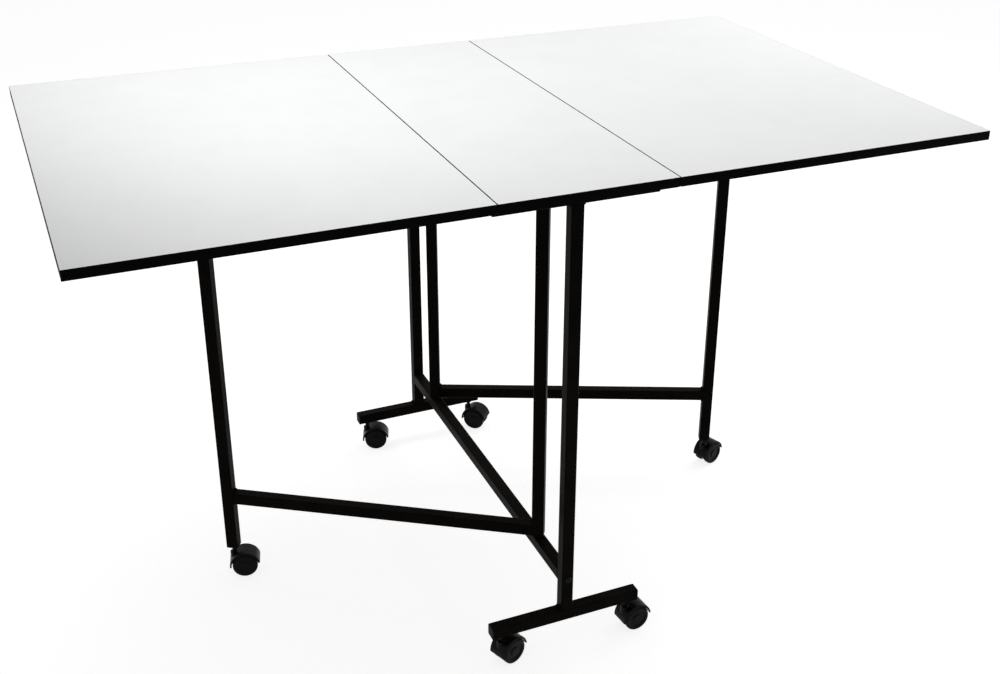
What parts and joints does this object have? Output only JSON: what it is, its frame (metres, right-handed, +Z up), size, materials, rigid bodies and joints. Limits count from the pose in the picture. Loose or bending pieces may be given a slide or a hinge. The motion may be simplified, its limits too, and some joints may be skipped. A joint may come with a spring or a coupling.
{
  "type": "folding cutting table",
  "caption": "Folding sewing and cutting table: a pale faced top with drop leaves on a dark square-tube frame, with swing gates under the leaves and swivel casters.",
  "frame": {"origin": "on the floor, under the centre of the open table top", "axes": "+X along the table's length, +Y across it from the front to the back, +Z up"},
  "size_m": [1.51, 0.89, 0.894],
  "materials": {
    "top_laminate": "satin melamine face on board",
    "edge_band": "matt black strip",
    "frame_paint": "satin black powder coat",
    "zinc_steel": "zinc plated",
    "black_steel": "black plated steel",
    "black_nylon": "moulded black nylon",
    "caster_plastic": "satin moulded black plastic"
  },
  "bodies": {
    "frame": {"centre_panel": "top_laminate", "centre_edge_band": "edge_band", "centre_hinge_plates": "zinc_steel", "hinge_pins": "zinc_steel", "centre_panel_screws": "zinc_steel", "front_post": "frame_paint", "back_post": "frame_paint", "front_foot": "frame_paint", "back_foot": "frame_paint", "lower_rail": "frame_paint", "upper_rail": "frame_paint", "front_top_bar": "frame_paint", "back_top_bar": "frame_paint", "tube_end_caps": "black_nylon", "foot_caster_sockets": "black_nylon", "gate_pivot_pins": "zinc_steel", "foot_caster_stems": "black_steel", "rail_bolts_and_nuts": "black_steel"},
    "left_leaf": {"left_leaf": "top_laminate", "left_leaf_edge_band": "edge_band", "left_leaf_hinge_plates": "zinc_steel", "left_leaf_screws": "zinc_steel"},
    "right_leaf": {"right_leaf": "top_laminate", "right_leaf_edge_band": "edge_band", "right_leaf_hinge_plates": "zinc_steel", "right_leaf_screws": "zinc_steel"},
    "left_gate": {"left_gate_pivot_post": "frame_paint", "left_gate_leg": "frame_paint", "left_gate_lower_rail": "frame_paint", "left_gate_upper_rail": "frame_paint", "left_gate_leg_cap": "black_nylon", "left_gate_bushes": "black_nylon", "left_gate_caster_socket": "black_nylon", "left_gate_caster_stem": "black_steel"},
    "right_gate": {"right_gate_pivot_post": "frame_paint", "right_gate_leg": "frame_paint", "right_gate_lower_rail": "frame_paint", "right_gate_upper_rail": "frame_paint", "right_gate_leg_cap": "black_nylon", "right_gate_bushes": "black_nylon", "right_gate_caster_socket": "black_nylon", "right_gate_caster_stem": "black_steel"},
    "front_left_caster": {"front_left_caster_hood": "caster_plastic", "front_left_caster_axle": "zinc_steel"},
    "front_left_wheel_pair": {"front_left_caster_wheels": "caster_plastic"},
    "front_right_caster": {"front_right_caster_hood": "caster_plastic", "front_right_caster_axle": "zinc_steel"},
    "front_right_wheel_pair": {"front_right_caster_wheels": "caster_plastic"},
    "back_left_caster": {"back_left_caster_hood": "caster_plastic", "back_left_caster_axle": "zinc_steel"},
    "back_left_wheel_pair": {"back_left_caster_wheels": "caster_plastic"},
    "back_right_caster": {"back_right_caster_hood": "caster_plastic", "back_right_caster_axle": "zinc_steel"},
    "back_right_wheel_pair": {"back_right_caster_wheels": "caster_plastic"},
    "left_gate_caster": {"left_gate_caster_hood": "caster_plastic", "left_gate_caster_axle": "zinc_steel"},
    "left_gate_wheel_pair": {"left_gate_caster_wheels": "caster_plastic"},
    "right_gate_caster": {"right_gate_caster_hood": "caster_plastic", "right_gate_caster_axle": "zinc_steel"},
    "right_gate_wheel_pair": {"right_gate_caster_wheels": "caster_plastic"}
  },
  "joints": [
    {"name": "left_leaf_hinge", "type": "hinge", "parent": "frame", "child": "left_leaf", "pos_m": [-0.15175, 0, 0.8746], "axis": [0, 1, 0], "range_deg": [0, 3]},
    {"name": "right_leaf_hinge", "type": "hinge", "parent": "frame", "child": "right_leaf", "pos_m": [0.15175, 0, 0.8746], "axis": [0, -1, 0], "range_deg": [0, 3]},
    {"name": "left_gate_swing", "type": "hinge", "parent": "frame", "child": "left_gate", "pos_m": [0, -0.274, 0.5], "axis": [0, 0, -1], "range_deg": [-33, 54]},
    {"name": "right_gate_swing", "type": "hinge", "parent": "frame", "child": "right_gate", "pos_m": [0, 0.274, 0.5], "axis": [0, 0, -1], "range_deg": [-24, 63]},
    {"name": "front_left_caster_swivel", "type": "hinge", "parent": "frame", "child": "front_left_caster", "pos_m": [-0.122, -0.391, 0.045], "axis": [0, 0, 1], "continuous": true},
    {"name": "front_left_wheel_roll", "type": "hinge", "parent": "front_left_caster", "child": "front_left_wheel_pair", "pos_m": [-0.10473, -0.38437, 0.024], "axis": [-0.3584, 0.9336, 0], "continuous": true},
    {"name": "front_right_caster_swivel", "type": "hinge", "parent": "frame", "child": "front_right_caster", "pos_m": [0.122, -0.391, 0.045], "axis": [0, 0, 1], "continuous": true},
    {"name": "front_right_wheel_roll", "type": "hinge", "parent": "front_right_caster", "child": "front_right_wheel_pair", "pos_m": [0.14043, -0.38939, 0.024], "axis": [-0.0872, 0.9962, 0], "continuous": true},
    {"name": "back_left_caster_swivel", "type": "hinge", "parent": "frame", "child": "back_left_caster", "pos_m": [-0.122, 0.391, 0.045], "axis": [0, 0, 1], "continuous": true},
    {"name": "back_left_wheel_roll", "type": "hinge", "parent": "back_left_caster", "child": "back_left_wheel_pair", "pos_m": [-0.10451, 0.38498, 0.024], "axis": [0.3256, 0.9455, 0], "continuous": true},
    {"name": "back_right_caster_swivel", "type": "hinge", "parent": "frame", "child": "back_right_caster", "pos_m": [0.122, 0.391, 0.045], "axis": [0, 0, 1], "continuous": true},
    {"name": "back_right_wheel_roll", "type": "hinge", "parent": "back_right_caster", "child": "back_right_wheel_pair", "pos_m": [0.13553, 0.37838, 0.024], "axis": [0.682, 0.7314, 0], "continuous": true},
    {"name": "left_gate_caster_swivel", "type": "hinge", "parent": "left_gate", "child": "left_gate_caster", "pos_m": [-0.49565, 0.04788, 0.045], "axis": [0, 0, 1], "continuous": true},
    {"name": "left_gate_wheel_roll", "type": "hinge", "parent": "left_gate_caster", "child": "left_gate_wheel_pair", "pos_m": [-0.4777, 0.04341, 0.024], "axis": [0.2419, 0.9703, 0], "continuous": true},
    {"name": "right_gate_caster_swivel", "type": "hinge", "parent": "right_gate", "child": "right_gate_caster", "pos_m": [0.5399, 0.03362, 0.045], "axis": [0, 0, 1], "continuous": true},
    {"name": "right_gate_wheel_roll", "type": "hinge", "parent": "right_gate_caster", "child": "right_gate_wheel_pair", "pos_m": [0.55729, 0.03995, 0.024], "axis": [-0.342, 0.9397, 0], "continuous": true}
  ]
}
